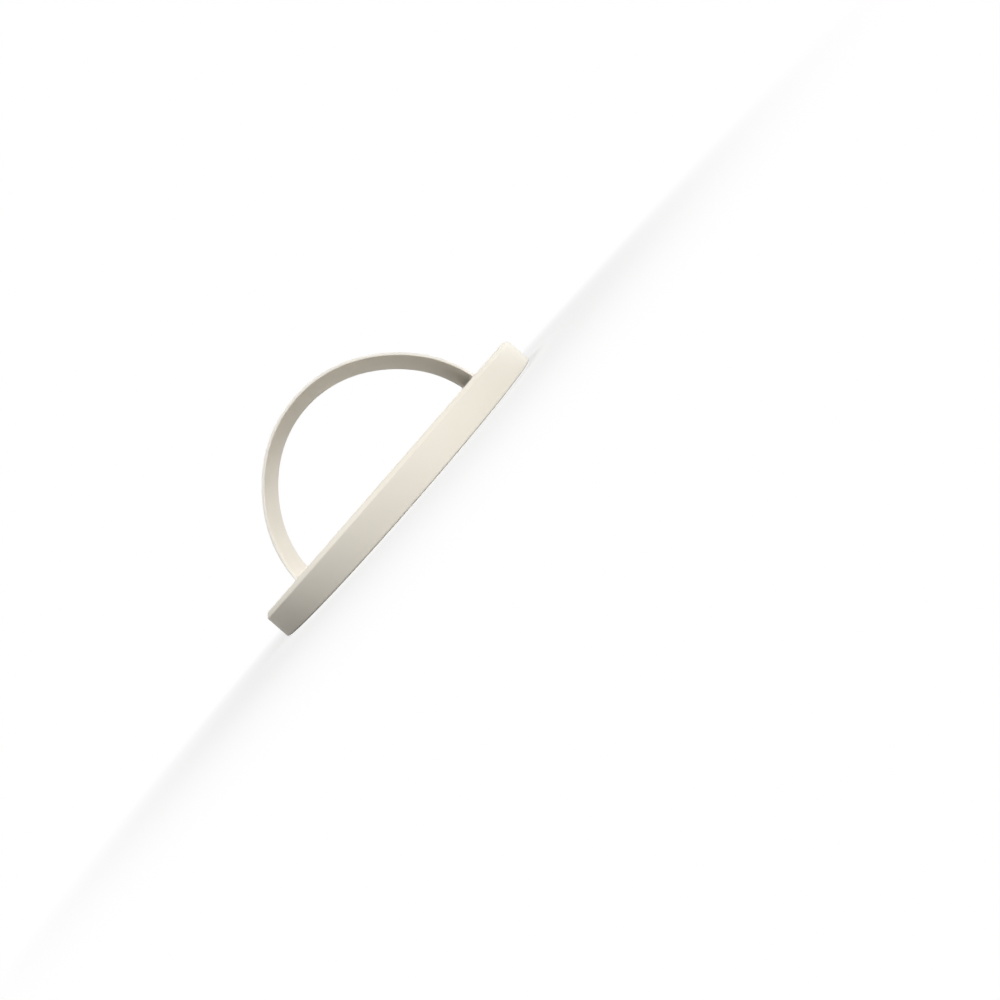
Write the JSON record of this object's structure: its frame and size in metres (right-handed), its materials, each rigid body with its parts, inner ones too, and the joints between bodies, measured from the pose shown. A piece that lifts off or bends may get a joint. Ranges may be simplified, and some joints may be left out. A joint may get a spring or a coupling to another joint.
{
  "type": "magnetic phone ring holder",
  "caption": "Round magnetic phone grip: a flat disc that lies on the phone's back, with a broad half-round finger band on a turntable that swivels without end.",
  "frame": {"origin": "centre of the disc's back face, the soft pad's face that lies on the phone", "axes": "+Z along the disc's axis, away from the phone and through the finger band; the band's two feet stand at +X and -X; the band's breadth runs along Y"},
  "size_m": [0.058, 0.058, 0.0235],
  "materials": {
    "shell_plastic": "soft-touch matte cream",
    "band_paint": "satin cream coating over a metal strip",
    "soft_pad": "matte cream silicone",
    "inner_plastic": "plain moulded, fine grain",
    "slip_plastic": "waxy white slip plastic",
    "magnet_plating": "nickel plating",
    "steel": "stamped steel, brushed",
    "spring_steel": "polished spring steel",
    "screw_steel": "turned steel"
  },
  "bodies": {
    "base": {"top_shell": "shell_plastic", "bottom_plate": "inner_plastic", "back_pad": "soft_pad", "magnet_01": "magnet_plating", "magnet_02": "magnet_plating", "magnet_03": "magnet_plating", "magnet_04": "magnet_plating", "magnet_05": "magnet_plating", "magnet_06": "magnet_plating", "magnet_07": "magnet_plating", "magnet_08": "magnet_plating", "magnet_09": "magnet_plating", "magnet_10": "magnet_plating", "magnet_11": "magnet_plating", "magnet_12": "magnet_plating", "magnet_13": "magnet_plating", "magnet_14": "magnet_plating", "magnet_15": "magnet_plating", "magnet_16": "magnet_plating", "yoke_ring": "steel", "glide_ring": "slip_plastic", "wave_washer": "spring_steel", "friction_washer": "slip_plastic"},
    "swivel": {"turntable_cap": "shell_plastic", "ring_band": "band_paint", "underplate": "steel", "underplate_screws": "screw_steel"}
  },
  "joints": [
    {"name": "ring_swivel", "type": "hinge", "parent": "base", "child": "swivel", "pos_m": [0, 0, 0.003], "axis": [0, 0, 1], "continuous": true}
  ]
}
